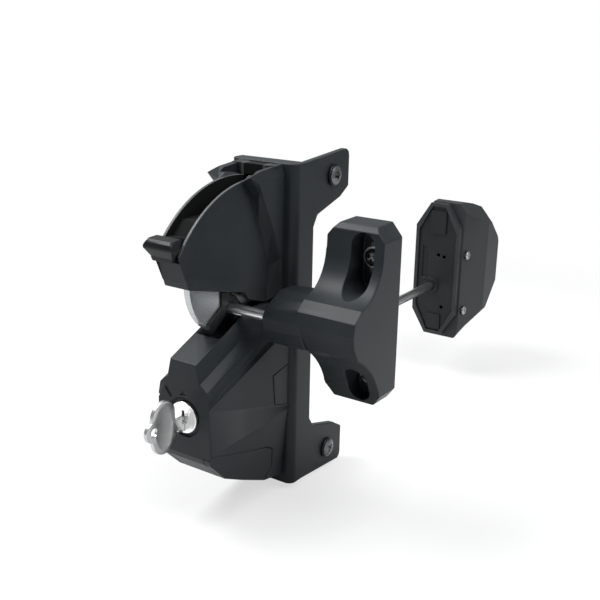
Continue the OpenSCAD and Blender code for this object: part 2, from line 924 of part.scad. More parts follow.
module striker_front() {
  a = striker_x;
  c = striker_x + striker_w;
  t = striker_top;
  b = striker_low;
  polygon([[a, b + 7], [a + 6, b - 1], [c - 5.5, b - 1], [c, b + 6.5], [c, t - 7.5], [c - 7, t + 1],
           [a + 7, t + 1], [a, t - 7.5]]);
}

module striker_body() {
  r = striker_reach;
  tip = [[-20, 12.4], [-31.5, 12.4], [-39.8, 8.6], [-45.4, 4.8], [-r + 0.1, 0.8], [-r + 0.2, -6],
         [-45.2, -12], [-43.1, arm_h * -0.53], [-20, arm_h * -0.53]];
  root = [[-20, 14.6], [-33.5, 14.6], [-41.5, 12.2], [-45.4, 9], [-r + 0.1, 1], [-r + 0.8, -5],
          [-44.6, -10.4], [-42.4, arm_h * -0.53], [-20, arm_h * -0.53]];
  color(black)
  difference() {
    union() {
      intersection() {
        across(striker_x, striker_x + striker_w)
          striker_side();
        along(-70, 0)
          striker_front();
      }
      loft(tip, arm_x, root, striker_x + 3);
    }
    // deep wells and slots for the two screws
    along(-70, -7)
      upright_slot(mount_x, screw_high - 11, screw_high + 8, 7);
    along(-10, 1)
      upright_slot(mount_x, screw_high - 7, screw_high + 5, slot_bore / 2);
    along(-70, -7)
      upright_slot(mount_x, screw_low - 6.4, screw_low + 1.6, 6.4);
    along(-10, 1)
      upright_slot(mount_x, screw_low - 4.5, screw_low + 1.5, slot_bore / 2);
    bar_x(arm_x - 1, striker_x + 14, -pin_y, 0, pin_r + run_gap);
  }
}

module striker_pin() {
  color(bright) {
    bar_x(-pin_past + 1, striker_x + 13.8, -pin_y, 0, pin_r);
    translate([-pin_past, -pin_y, 0])
      rotate([0, 90, 0])
        cylinder(r1 = pin_r - 1, r2 = pin_r, h = 1 + eps);
  }
}

module striker_screws() {
  color(steel)
  for (z = [screw_high, screw_low])
    translate([mount_x, 0, z])
      difference() {
        union() {
          bar_y(0, 18, 0, 0, 2.5);
          rotate([90, 0, 0])
            cylinder(r1 = 2.5, r2 = 2.6, h = 10);
          bar_y(-12.2, -8.6, 0, 0, 4.6);
        }
        block([-3, -14, -0.5], [3, -10.6, 0.5]);
        block([-0.5, -14, -3], [0.5, -10.6, 3]);
      }
}

module striker_washers() {
  color(steel)
  for (z = [screw_high, screw_low])
    translate([mount_x, 0, z])
      difference() {
        bar_y(-8.5, -7, 0, 0, 5.8);
        bar_y(-10, 0, 0, 0, 2.8);
      }
}

base_plate();
upper_housing();
lower_housing();
housing_screws();
side_caps();
foot_pads();
post_screws();
cam_pin();
cam_pin_clip();
cam_plate();
cam_liner();
cam_washers();
cam_rivets();
thumb_lever();
lock_barrel();
barrel_clip();
lock_plug();
key();
lock_tail();
lock_bolt();
drive_rod();
outside_back();
outside_cover();
outside_barrel();
outside_plug();
outside_screws();
striker_body();
striker_pin();
striker_screws();
striker_washers();
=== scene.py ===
import json
import math

import bmesh
import bpy
import numpy as np
from mathutils import Matrix, Vector
from mathutils.bvhtree import BVHTree

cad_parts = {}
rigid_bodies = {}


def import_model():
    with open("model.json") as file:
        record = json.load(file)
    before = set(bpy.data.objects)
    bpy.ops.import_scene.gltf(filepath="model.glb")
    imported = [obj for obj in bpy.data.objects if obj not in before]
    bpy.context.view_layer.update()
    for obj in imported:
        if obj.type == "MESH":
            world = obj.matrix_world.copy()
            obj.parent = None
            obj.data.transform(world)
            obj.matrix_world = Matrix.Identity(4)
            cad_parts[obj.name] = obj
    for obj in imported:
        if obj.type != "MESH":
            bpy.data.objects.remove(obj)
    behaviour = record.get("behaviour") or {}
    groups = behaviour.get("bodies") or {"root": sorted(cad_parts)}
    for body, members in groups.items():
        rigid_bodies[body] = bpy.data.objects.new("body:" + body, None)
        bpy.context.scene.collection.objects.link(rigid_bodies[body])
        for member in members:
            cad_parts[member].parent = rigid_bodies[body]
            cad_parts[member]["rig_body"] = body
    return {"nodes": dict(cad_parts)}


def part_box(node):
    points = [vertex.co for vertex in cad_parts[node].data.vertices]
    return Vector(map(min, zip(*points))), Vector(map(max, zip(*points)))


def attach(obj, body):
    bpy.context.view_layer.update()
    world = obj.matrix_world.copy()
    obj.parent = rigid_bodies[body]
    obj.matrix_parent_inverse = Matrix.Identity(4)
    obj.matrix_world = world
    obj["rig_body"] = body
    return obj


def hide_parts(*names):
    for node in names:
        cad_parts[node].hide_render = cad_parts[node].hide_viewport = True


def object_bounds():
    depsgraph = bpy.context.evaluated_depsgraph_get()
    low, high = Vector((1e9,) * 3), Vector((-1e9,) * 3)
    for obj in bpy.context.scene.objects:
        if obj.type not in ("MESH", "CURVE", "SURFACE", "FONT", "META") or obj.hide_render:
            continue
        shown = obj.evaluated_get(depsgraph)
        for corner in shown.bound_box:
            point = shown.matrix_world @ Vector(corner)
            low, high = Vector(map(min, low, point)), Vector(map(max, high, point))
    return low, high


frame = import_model()
cadLow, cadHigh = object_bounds()
nodes = frame["nodes"]
mm = 0.001


def boxOf(node):
    # the low and high corner of a node's box in millimetres
    low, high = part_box(node)
    return np.array(low) / mm, np.array(high) / mm


# Shader expressions
class Value:
    # one socket of a node tree; arithmetic on it adds Math nodes
    def __init__(self, tree, socket):
        self.tree = tree
        self.socket = socket

    def math(self, operation, first, second=0.0):
        made = addNode(self.tree, "ShaderNodeMath", {"operation": operation}, {0: first, 1: second})
        return Value(self.tree, made.outputs[0])

    def __add__(self, other):
        return self.math("ADD", self, other)

    def __radd__(self, other):
        return self.math("ADD", other, self)

    def __sub__(self, other):
        return self.math("SUBTRACT", self, other)

    def __rsub__(self, other):
        return self.math("SUBTRACT", other, self)

    def __mul__(self, other):
        return self.math("MULTIPLY", self, other)

    def __rmul__(self, other):
        return self.math("MULTIPLY", other, self)

    def __pow__(self, other):
        return self.math("POWER", self, other)

    def __abs__(self):
        return self.math("ABSOLUTE", self)

    def atLeast(self, other):
        return self.math("MAXIMUM", self, other)

    def within(self, low, high):
        # 0 below low, 1 above high, smooth between
        made = addNode(self.tree, "ShaderNodeMapRange", {"interpolation_type": "SMOOTHSTEP"},
                       {"Value": self, "From Min": low, "From Max": high})
        return Value(self.tree, made.outputs[0])

    def past(self, edge, blend):
        # 0 up to the edge, 1 once the blend is over
        return self.within(edge, edge + blend)

    def spread(self, look):
        # 0 to 1 over the part of a noise that shows
        return self.within(look["low"], look["high"])


def addNode(tree, kind, settings, values):
    made = tree.nodes.new(kind)
    for name, value in settings.items():
        setattr(made, name, value)
    for key, value in values.items():
        socket = made.inputs[key]
        if isinstance(value, Value):
            tree.links.new(value.socket, socket)
        elif isinstance(value, bpy.types.NodeSocket):
            tree.links.new(value, socket)
        elif isinstance(value, tuple) and socket.type == "RGBA":
            socket.default_value = (*value, 1)
        else:
            socket.default_value = value
    return made


def newMaterial(name):
    material = bpy.data.materials.new(name)
    material.use_nodes = True
    tree = material.node_tree
    tree.nodes.clear()
    shader = addNode(tree, "ShaderNodeBsdfPrincipled", {}, {})
    out = addNode(tree, "ShaderNodeOutputMaterial", {}, {"Surface": shader.outputs[0]})
    where = addNode(tree, "ShaderNodeTexCoord", {}, {}).outputs["Object"]
    return material, tree, shader, out, where


def noise(tree, where, look, scale=None):
    # a cloudy pattern, drawn out and turned as the look says
    mapped = addNode(tree, "ShaderNodeMapping", {},
                     {"Vector": where, "Scale": look.get("stretch", (1, 1, 1)),
                      "Rotation": look.get("turn", (0, 0, 0))})
    made = addNode(tree, "ShaderNodeTexNoise", {},
                   {"Vector": mapped.outputs[0], "Scale": scale or look["scale"], "Detail": look["detail"]})
    return Value(tree, made.outputs["Fac"])


def coordinates(tree, where):
    parts = addNode(tree, "ShaderNodeSeparateXYZ", {}, {0: where})
    return [Value(tree, part) for part in parts.outputs]


def distanceFrom(across, up):
    return (across * across + up * up) ** 0.5


def mixColour(tree, amount, first, second):
    made = addNode(tree, "ShaderNodeMix", {"data_type": "RGBA"}, {"Factor": amount, 6: first, 7: second})
    return made.outputs[2]


def bumped(tree, shader, height, depth, before=None):
    made = addNode(tree, "ShaderNodeBump", {}, {"Height": height, "Distance": depth, "Strength": 1.0})
    if before:
        tree.links.new(before, made.inputs["Normal"])
    tree.links.new(made.outputs[0], shader.inputs["Normal"])
    return made.outputs[0]


# Moulded plastics
slotArc = {"y": -29.8, "z": -1.7, "rim": 72.2}     # centre and rim of the cheeks' arc, mm
housingSkin = {"colour": (0.0135, 0.0168, 0.0188), "pale": (0.021, 0.025, 0.0275), "rough": 0.42,
               "grain": 0.035 * mm, "grainScale": 2600, "specular": 0.16}
plasticLooks = {
    "housingPlastic": housingSkin,
    "cheekPlastic": {**housingSkin,
                     # rim: a painted highlight along the cheeks' cut rim
                     "rim": {"half": 8.4 * mm, "blend": 0.15 * mm, "colour": (0.06, 0.065, 0.068)},
                     # slot: painted shade inside the lever's slot, down to the nose
                     "slot": {"half": 6.52 * mm, "blend": 0.18 * mm, "noseBack": -79.3 * mm,
                              "noseBlend": 0.3 * mm, "noseTop": 35.4 * mm, "topBlend": 0.2 * mm,
                              "colour": (0.0025, 0.0028, 0.003)}},
    "leverPlastic": {"colour": (0.0035, 0.0043, 0.005), "pale": (0.0075, 0.0088, 0.0098), "rough": 0.42,
                     "grain": 0.02 * mm, "grainScale": 3200, "specular": 0.18,
                     # hidden: painted shade on the lever's body inside the slot
                     "hidden": {"behind": -85 * mm, "blend": 1.5 * mm,
                                "colour": (0.002, 0.0024, 0.0027)}},
    "linerPlastic": {"colour": (0.006, 0.0068, 0.0074), "pale": (0.012, 0.013, 0.014), "rough": 0.45,
                     "grain": 0.03 * mm, "grainScale": 2400, "specular": 0.25},
    "coverPlastic": {"colour": (0.017, 0.02, 0.022), "pale": (0.026, 0.029, 0.031), "rough": 0.48,
                     "grain": 0.04 * mm, "grainScale": 2200, "specular": 0.28},
}
# gloss is what a pattern or a mask does to the roughness, share what it does to the colour
plasticWear = {
    "cloud": {"scale": 38, "detail": 3, "low": 0.3, "high": 0.75, "share": 0.55, "gloss": 0.12,
              "depth": 0.06 * mm},
    "flow": {"scale": 20, "detail": 4, "stretch": (1, 1, 0.25), "turn": (0.5, 0.2, 0), "low": 0.45,
             "high": 0.8, "share": 0.25},
    "scuff": {"scale": 420, "detail": 2, "stretch": (0.12, 1, 1), "turn": (0, 0.6, 0.9), "low": 0.7,
              "high": 0.8, "share": 0.2, "gloss": 0.07},
    "speck": {"detail": 1, "gloss": 0.08},
}
maskGloss = {"rim": -0.08, "slot": 0.3, "hidden": 0.5}


def rimHighlightMask(x, y, z, rim):
    # painted highlight: the cheeks' cut rim along the arc is painted paler, as where it catches the light
    radius = distanceFrom(y - slotArc["y"] * mm, z - slotArc["z"] * mm)
    return radius.past(slotArc["rim"] * mm, rim["blend"]) * (1 - abs(x).past(rim["half"], rim["blend"]))


def slotShadeMask(x, y, z, slot):
    # painted shade: the inside of the lever's slot is painted darker than the outside, down to the nose
    inside = 1 - abs(x).past(slot["half"], slot["blend"])
    behind = y.past(slot["noseBack"], slot["noseBlend"])
    return inside * behind.atLeast(z.past(slot["noseTop"], slot["topBlend"]))


def hiddenShadeMask(x, y, z, hidden):
    # painted shade: the lever's body inside the slot is painted darker than its pad
    return y.past(hidden["behind"], hidden["blend"])


# painted highlight on the cheeks' rim, painted shade in the slot and on the lever's body inside it
plasticMasks = {"rim": rimHighlightMask, "slot": slotShadeMask, "hidden": hiddenShadeMask}


def mouldedPlastic(name, look):
    # satin moulded plastic: fine spark-eroded grain, cloudy gloss, faint flow marks and scuffs
    material, tree, shader, out, where = newMaterial(name)
    wear = plasticWear
    cloud = noise(tree, where, wear["cloud"])
    flow = noise(tree, where, wear["flow"])
    scuff = noise(tree, where, wear["scuff"]).spread(wear["scuff"])
    speck = noise(tree, where, wear["speck"], look["grainScale"])
    amount = (cloud.spread(wear["cloud"]) * wear["cloud"]["share"]
              + flow.spread(wear["flow"]) * wear["flow"]["share"] + scuff * wear["scuff"]["share"])
    skin = mixColour(tree, amount, look["colour"], look["pale"])
    rough = (look["rough"] + (cloud - 0.5) * wear["cloud"]["gloss"]
             + (speck - 0.5) * wear["speck"]["gloss"] - scuff * wear["scuff"]["gloss"])
    x, y, z = coordinates(tree, where)
    # the masks paint a highlight on the cheeks' rim and shade in the slot and on the lever's hidden body
    for key, mask in plasticMasks.items():
        if key in look:
            share = mask(x, y, z, look[key])
            skin = mixColour(tree, share, skin, look[key]["colour"])
            rough = rough + share * maskGloss[key]
    tree.links.new(skin, shader.inputs["Base Color"])
    tree.links.new(rough.socket, shader.inputs["Roughness"])
    shader.inputs["Specular IOR Level"].default_value = look["specular"]
    grain = bumped(tree, shader, speck, look["grain"])
    bumped(tree, shader, cloud, wear["cloud"]["depth"], grain)
    return material


# Metals; stretch and turn give the brushed ones their working direction
metalLooks = {
    "camZinc": {"colour": (0.27, 0.285, 0.295), "pale": (0.36, 0.375, 0.385), "rough": 0.42,
                "stretch": (0.03, 1, 1), "turn": (0.9, 0, 0), "scale": 900, "depth": 0.006 * mm,
                "rim": {"y": -43 * mm, "z": 19.5 * mm, "radius": 32.4 * mm, "blend": 0.1 * mm,
                        "colour": (0.42, 0.43, 0.435), "gloss": 0.15}},
    "rodSteel": {"colour": (0.34, 0.35, 0.355), "pale": (0.46, 0.47, 0.475), "rough": 0.34,
                 "stretch": (1, 0.03, 1), "scale": 900, "depth": 0.006 * mm},
    "screwZinc": {"colour": (0.30, 0.31, 0.315), "pale": (0.45, 0.455, 0.45), "rough": 0.36,
                  "scale": 500, "depth": 0.008 * mm},
    "darkSteel": {"colour": (0.02, 0.022, 0.0235), "pale": (0.035, 0.038, 0.04), "rough": 0.4,
                  "scale": 500, "depth": 0.006 * mm},
    "darkScrew": {"colour": (0.11, 0.117, 0.122), "pale": (0.2, 0.208, 0.214), "rough": 0.36,
                  "scale": 500, "depth": 0.008 * mm},
    "springSteel": {"colour": (0.3, 0.31, 0.32), "pale": (0.42, 0.43, 0.44), "rough": 0.4,
                    "stretch": (1, 0.1, 1), "turn": (0, 0, 0.3), "scale": 700, "depth": 0.008 * mm},
    "pinChrome": {"colour": (0.78, 0.785, 0.79), "pale": (0.88, 0.885, 0.89), "rough": 0.3,
                  "stretch": (0.04, 1, 1), "scale": 1400, "depth": 0.0015 * mm},
    "lockNickel": {"colour": (0.86, 0.86, 0.86), "pale": (0.93, 0.93, 0.925), "rough": 0.3,
                   "stretch": (1, 1, 0.06), "turn": (0, 0.5, 0), "scale": 1100, "depth": 0.003 * mm,
                   # the keyway's mouth is painted dark as its shade
                   "keyway": {"half": 0.8 * mm, "reach": 4.1 * mm, "blend": 0.15 * mm,
                              "colour": (0.01, 0.01, 0.01)}},
    "keyNickel": {"colour": (0.47, 0.475, 0.48), "pale": (0.5, 0.5, 0.497), "rough": 0.3,
                  "stretch": (1, 0.08, 1), "turn": (0.5, 0, 0), "scale": 1600, "depth": 0.0004 * mm,
                  "streakGloss": 0.02},
}
metalWear = {
    "streak": {"detail": 3, "low": 0.3, "high": 0.75, "share": 0.7, "gloss": 0.16},
    "cloud": {"scale": 60, "detail": 3, "low": 0.35, "high": 0.7, "share": 0.3, "gloss": 0.1},
    "marks": {"scale": 300, "detail": 2, "stretch": (1, 0.15, 0.6), "turn": (0.4, 0.9, 0.2), "low": 0.7,
              "high": 0.8, "gloss": 0.06, "depth": 0.3},
}
plugLow, plugHigh = boxOf("lock_plug")
lockX, _, lockZ = (plugLow + plugHigh) / 2 * mm


def plainMetal(name, look):
    # brushed or plated metal: streaks along the working direction, small handling marks
    material, tree, shader, out, where = newMaterial(name)
    wear = metalWear
    streak = noise(tree, where, {**wear["streak"], **look})
    cloud = noise(tree, where, wear["cloud"])
    marks = noise(tree, where, wear["marks"]).spread(wear["marks"])
    amount = (streak.spread(wear["streak"]) * wear["streak"]["share"]
              + cloud.spread(wear["cloud"]) * wear["cloud"]["share"])
    skin = mixColour(tree, amount, look["colour"], look["pale"])
    streakGloss = look.get("streakGloss", wear["streak"]["gloss"])
    rough = (look["rough"] + (streak - 0.5) * streakGloss + (cloud - 0.5) * wear["cloud"]["gloss"]
             + marks * wear["marks"]["gloss"])
    x, y, z = coordinates(tree, where)
    if "rim" in look:
        # the turned rim is polished brighter than the flat sides
        rim = look["rim"]
        polished = distanceFrom(y - rim["y"], z - rim["z"]).past(rim["radius"], rim["blend"])
        skin = mixColour(tree, polished, skin, rim["colour"])
        rough = rough - polished * rim["gloss"]
    if "keyway" in look:
        # painted shade: the mouth of the keyway is painted dark, on the front face and on the far plug
        # alike
        keyway = look["keyway"]
        wide = 1 - abs(x - lockX).past(keyway["half"], keyway["blend"])
        tall = 1 - abs(z - lockZ).past(keyway["reach"], keyway["blend"])
        skin = mixColour(tree, wide * tall, skin, keyway["colour"])
    tree.links.new(skin, shader.inputs["Base Color"])
    tree.links.new(rough.socket, shader.inputs["Roughness"])
    shader.inputs["Metallic"].default_value = 1.0
    bumped(tree, shader, streak + marks * wear["marks"]["depth"], look["depth"])
    return material


finishes = {name: mouldedPlastic(name, look) for name, look in plasticLooks.items()}
finishes.update({name: plainMetal(name, look) for name, look in metalLooks.items()})
print("finishes:", len(finishes))


# Meshes and pieces
def addObject(name, data):
    added = bpy.data.objects.new(name, data)
    bpy.context.scene.collection.objects.link(added)
    return added


def addPiece(name, mesh, node, finish, replaced=True):
    # a piece that moves with the body of a CAD node and mostly stands for it
    piece = addObject(name, mesh)
    mesh.materials.clear()
    mesh.materials.append(finishes[finish])
    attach(piece, nodes[node]["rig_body"])
    if replaced:
        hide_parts(node)
    return piece


def circleAngles(columns):
    return np.linspace(0, 2 * math.pi, columns, endpoint=False)


def ringQuads(rows, columns, closed=False):
    # quads between rows of a grid that closes round in its columns, and in its rows when closed
    row, column = np.meshgrid(np.arange(rows if closed else rows - 1), np.arange(columns), indexing="ij")
    after, above = (column + 1) % columns, (row + 1) % rows
    corners = [row * columns + column, row * columns + after, above * columns + after,
               above * columns + column]
    return np.stack(corners, -1).reshape(-1, 4)


def gridMesh(name, points):
    # points[row, column] closes round in the columns; the first and last rows are poles
    rows, columns = points.shape[:2]
    poleLow, poleHigh = points[0].mean(0), points[-1].mean(0)
    inner = points[1:-1].reshape(-1, 3)
    ring = np.arange(columns)
    low = np.stack([np.full(columns, len(inner)), (ring + 1) % columns, ring], -1)
    last = (rows - 3) * columns
    high = np.stack([np.full(columns, len(inner) + 1), last + ring, last + (ring + 1) % columns], -1)
    mesh = bpy.data.meshes.new(name)
    mesh.from_pydata(np.vstack([inner, poleLow, poleHigh]).tolist(), [],
                     ringQuads(rows - 2, columns).tolist() + low.tolist() + high.tolist())
    mesh.update()
    return mesh


def joinMeshes(name, meshes):
    work = bmesh.new()
    for mesh in meshes:
        work.from_mesh(mesh)
    bmesh.ops.recalc_face_normals(work, faces=work.faces)
    joined = bpy.data.meshes.new(name)
    work.to_mesh(joined)
    work.free()
    for mesh in meshes:
        bpy.data.meshes.remove(mesh)
    return joined


def smoothFaces(mesh, degrees):
    mesh.shade_smooth()
    mesh.set_sharp_from_angle(angle=math.radians(degrees))


# Regions of corners that are kept sharp or get a rounding of their own, in mm
ridge = {"side": 8.3, "front": -53.5, "foot": 53}
rim = {"side": 8, "inset": 0.7}
pad = {"back": -83.5}
flatEnd = {"from": 49.5, "to": 53.3, "back": -20, "foot": 5}


def ridgeCorner(c):
    # the stepped ridge above the slot, behind the pad
    return abs(c.x) > ridge["side"] and c.y > ridge["front"] and c.z > ridge["foot"]


def rimCorner(c):
    # the cheeks' thin rim along the arc
    radius = math.hypot(c.y - slotArc["y"], c.z - slotArc["z"])
    return abs(c.x) > rim["side"] and radius > slotArc["rim"] - rim["inset"]


def padCorner(c):
    return c.y < pad["back"]


def armFlatEnd(c):
    # where the flat along the arm runs out in the flange
    return flatEnd["from"] < c.x < flatEnd["to"] and c.y < flatEnd["back"] and c.z > flatEnd["foot"]


# Rounded copies of the CAD solids, each with its edge in mm. A crease of more than facet degrees
# between faces wider than facetWidth stays crisp. Corners inside keep aren't rounded at all, and
# those inside first are rounded before the others by an edge of their own.
armFlat = {"x": (49.9, 86), "outline": [(-38.5, 14.66), (-48.5, 6.46), (-52, 8), (-52, 20), (-38.5, 20)]}
softEdges = {
    "base_plate": {"finish": "housingPlastic", "slot": "black", "edge": 0.7},
    "upper_housing": {"finish": "cheekPlastic", "slot": "black", "edge": 0.5, "facet": 6.5,
                      "facetWidth": 0.3, "keep": ridgeCorner, "first": {"edge": 0.25, "where": rimCorner}},
    "lower_housing": {"finish": "housingPlastic", "slot": "black", "edge": 0.7, "facet": 2.5,
                      "facetWidth": 0.9},
    "side_caps": {"finish": "housingPlastic", "slot": "black", "edge": 0.3},
    "foot_pads": {"finish": "housingPlastic", "slot": "black", "edge": 0.6},
    "thumb_lever": {"finish": "leverPlastic", "slot": "dark", "edge": 0.4,
                    "first": {"edge": 1.1, "where": padCorner}},
    "cam_plate": {"finish": "camZinc", "slot": "steel", "edge": 0.35},
    "cam_liner": {"finish": "linerPlastic", "slot": "dark", "edge": 0.3},
    "lock_barrel": {"finish": "darkSteel", "slot": "steel", "edge": 0.2},
    "lock_plug": {"finish": "lockNickel", "slot": "bright", "edge": 0.3},
    "key": {"finish": "keyNickel", "slot": "bright", "edge": 0.4},
    "outside_cover": {"finish": "coverPlastic", "slot": "black", "edge": 0.9},
    "outside_back": {"finish": "linerPlastic", "slot": "black", "edge": 0.3},
    "outside_plug": {"finish": "lockNickel", "slot": "bright", "edge": 0.3},
    "striker_body": {"finish": "housingPlastic", "slot": "black", "edge": 0.8, "facet": 7,
                     "facetWidth": 0.3, "keep": armFlatEnd, "cut": armFlat},
    "striker_pin": {"finish": "pinChrome", "slot": "bright", "edge": 0.2},
}
plainNodes = {
    "housing_screws": "screwZinc", "cam_pin": "rodSteel", "cam_pin_clip": "springSteel",
    "cam_washers": "screwZinc", "cam_rivets": "rodSteel", "barrel_clip": "springSteel",
    "lock_tail": "rodSteel", "lock_bolt": "camZinc", "drive_rod": "rodSteel",
    "outside_barrel": "springSteel", "striker_washers": "screwZinc",
}
# sharp, facet, chain and tilt in degrees, facetWidth in mm, room as a share of an edge's length,
# sizes as shares of the edge, bulk as a share of the volume, straight as a cosine
roundRule = {"sharp": 24, "facet": 9, "facetWidth": 1.2, "room": 0.45, "chain": 25, "segments": 3,
             "tilt": 3.5, "sizes": (1, 0.5, 0.25), "bulk": 0.03, "straight": 0.2}
mergeRule = {"close": 0.002 * mm, "tiny": 0.001 * mm, "flat": 0.4}     # flat in degrees


def pieceName(node, look):
    words = node.split("_")
    ending = "Moulded" if look["slot"] in ("black", "dark") else "Finished"
    return words[0] + "".join(word.capitalize() for word in words[1:]) + ending


def mergedCopy(name, source):
    # the triangles merged, with flat regions made whole again so that a bevel runs clean
    work = bmesh.new()
    work.from_mesh(source)
    bmesh.ops.remove_doubles(work, verts=work.verts, dist=mergeRule["close"])
    bmesh.ops.dissolve_degenerate(work, edges=work.edges, dist=mergeRule["tiny"])
    bmesh.ops.dissolve_limit(work, angle_limit=math.radians(mergeRule["flat"]),
                             use_dissolve_boundaries=False, verts=work.verts, edges=work.edges)
    mesh = bpy.data.meshes.new(name)
    work.to_mesh(mesh)
    work.free()
    return mesh


def faceWidth(face):
    return face.calc_area() / max(1e-9, max(edge.calc_length() for edge in face.edges))


def cornerAngle(edge):
    return math.degrees(edge.calc_face_angle(0)) if len(edge.link_faces) == 2 else 0


def allInside(edge, region):
    return region is not None and all(region(vert.co / mm) for vert in edge.verts)


def roundedFaces(work, skin):
    # faces that no longer lie along the CAD skin under them are the strips of a rounding;
    # each is tested at the middle of its largest triangle
    largest = {}
    for loops in work.calc_loop_triangles():
        first, second, third = (loop.vert.co for loop in loops)
        area = (second - first).cross(third - first).length
        if area > largest.get(loops[0].face, (0, None))[0]:
            largest[loops[0].face] = (area, (first + second + third) / 3)
    tilt = math.cos(math.radians(roundRule["tilt"]))
    return {face for face, (area, middle) in largest.items()
            if face.normal.dot(skin.find_nearest(middle)[1]) < tilt}


def carryCrease(edge, vert, strips):
    # a crease between two facets runs on across the rounding that it meets
    for _ in range(roundRule["segments"]):
        along = (vert.co - edge.other_vert(vert).co).normalized()
        choices = []
        for other in vert.link_edges:
            bend = (other.other_vert(vert).co - vert.co).normalized().dot(along)
            if other is not edge and strips.issuperset(other.link_faces) and bend > roundRule["straight"]:
                choices.append((bend, other))
        if not choices:
            return
        edge = max(choices, key=lambda choice: choice[0])[1]
        edge.smooth = False
        vert = edge.other_vert(vert)


def markSharp(work, strips, look):
    # true corners and the borders between wide facets stay crisp, strips of a curve shade as one
    facet = look.get("facet", roundRule["facet"])
    facetWidth = look.get("facetWidth", roundRule["facetWidth"]) * mm
    for face in work.faces:
        face.smooth = True
    for edge in work.edges:
        angle = cornerAngle(edge)
        wide = angle > facet and min(map(faceWidth, edge.link_faces)) > facetWidth
        crisp = angle > roundRule["sharp"] or wide
        kept = allInside(edge, look.get("keep"))
        edge.smooth = not kept and (not crisp or not strips.isdisjoint(edge.link_faces))
    for edge in [edge for edge in work.edges if not edge.smooth]:
        for vert in edge.verts:
            carryCrease(edge, vert, strips)


def hasRoom(edge, width, corners):
    # the faces beside an edge are long enough for the rounding at both its ends
    along = (edge.verts[1].co - edge.verts[0].co).normalized()
    for vert in edge.verts:
        outward = along if vert is edge.verts[1] else -along
        for other in vert.link_edges:
            if other is edge:
                continue
            bend = (other.other_vert(vert).co - vert.co).normalized().dot(outward)
            if other in corners and bend > math.cos(math.radians(roundRule["chain"])):
                continue
            slant = math.sqrt(max(0, 1 - bend * bend)) if bend < 0 else 1
            if other.calc_length() * slant * roundRule["room"] < width:
                return False
    return True


def chains(wanted):
    # groups of edges that share a vertex, each as sorted edge numbers
    left, groups = set(wanted), []
    while left:
        group, front = set(), [left.pop()]
        while front:
            edge = front.pop()
            group.add(edge)
            for vert in edge.verts:
                for other in vert.link_edges:
                    if other in left:
                        left.remove(other)
                        front.append(other)
        groups.append(sorted(edge.index for edge in group))
    return sorted(groups)


def skinArea(work):
    trial = bpy.data.meshes.new("trial")
    work.to_mesh(trial)
    trial.calc_loop_triangles()
    areas = np.zeros(len(trial.loop_triangles))
    trial.loop_triangles.foreach_get("area", areas)
    bpy.data.meshes.remove(trial)
    return areas.sum()


def sharpCorners(work, strips):
    return {edge for edge in work.edges
            if cornerAngle(edge) > roundRule["sharp"] and strips.isdisjoint(edge.link_faces)}


def roundEdges(work, skin, width, inRegion):
    # rounds the corners that have room, group by group; a group that would fold or spike is tried
    # narrower and then left sharp, which shows as a skin that grows
    mark = work.edges.layers.int.get("group") or work.edges.layers.int.new("group")
    number = 0
    for size in roundRule["sizes"]:
        corners = sharpCorners(work, roundedFaces(work, skin))
        for edge in work.edges:
            edge[mark] = 0
        work.edges.index_update()
        groups = chains({edge for edge in corners
                         if inRegion(edge) and hasRoom(edge, width * size, corners)})
        work.edges.ensure_lookup_table()
        names = range(number + 1, number + 1 + len(groups))
        for name, group in zip(names, groups):
            for index in group:
                work.edges[index][mark] = name
        for name in names:
            trial = work.copy()
            layer = trial.edges.layers.int["group"]
            before, bulk = skinArea(trial), trial.calc_volume()
            bmesh.ops.bevel(trial, geom=[edge for edge in trial.edges if edge[layer] == name],
                            offset=width * size, offset_type="OFFSET", affect="EDGES", profile=0.5,
                            segments=roundRule["segments"], clamp_overlap=False, loop_slide=False)
            sound = abs(trial.calc_volume() - bulk) < roundRule["bulk"] * bulk
            if skinArea(trial) < before and sound:
                work.free()
                work = trial
            else:
                trial.free()
        number += len(groups)
        mark = work.edges.layers.int["group"]
    return work


def addRounding(mesh, look):
    # the corners of a first region get a rounding of their own, then come all the others
    work = bmesh.new()
    work.from_mesh(mesh)
    skin = BVHTree.FromBMesh(work)
    first = look.get("first", {"edge": 0, "where": None})

    def chosen(edge, special):
        return not allInside(edge, look.get("keep")) and allInside(edge, first["where"]) == special

    if first["edge"]:
        work = roundEdges(work, skin, first["edge"] * mm, lambda edge: chosen(edge, True))
    work = roundEdges(work, skin, look["edge"] * mm, lambda edge: chosen(edge, False))
    markSharp(work, roundedFaces(work, skin), look)
    work.to_mesh(mesh)
    work.free()


def carved(mesh, cutterMesh, before=None):
    # the mesh less the cutter, by an exact boolean on two objects that are removed again
    pair = [addObject("carving", part) for part in (mesh, cutterMesh)]
    if before:
        before(pair[0])
    level = pair[0].modifiers.new("carve", "BOOLEAN")
    level.operation = "DIFFERENCE"
    level.solver = "EXACT"
    level.object = pair[1]
    bpy.context.view_layer.update()
    made = bpy.data.meshes.new_from_object(pair[0].evaluated_get(bpy.context.evaluated_depsgraph_get()))
    made.name = mesh.name
    for part in pair:
        bpy.data.objects.remove(part)
    return made


def prismMesh(cut):
    # an outline in the YZ plane drawn out along X
    count = len(cut["outline"])
    points = [(x * mm, y * mm, z * mm) for x in cut["x"] for y, z in cut["outline"]]
    sides = [(k, (k + 1) % count, count + (k + 1) % count, count + k) for k in range(count)]
    mesh = bpy.data.meshes.new("prism")
    mesh.from_pydata(points, [], sides + [tuple(range(count))[::-1], tuple(range(count, 2 * count))])
    return joinMeshes("prism", [mesh])


def evenShading(piece):
    level = piece.modifiers.new("evenShading", "WEIGHTED_NORMAL")
    level.mode = "FACE_AREA"
    level.weight = 90
    level.keep_sharp = True


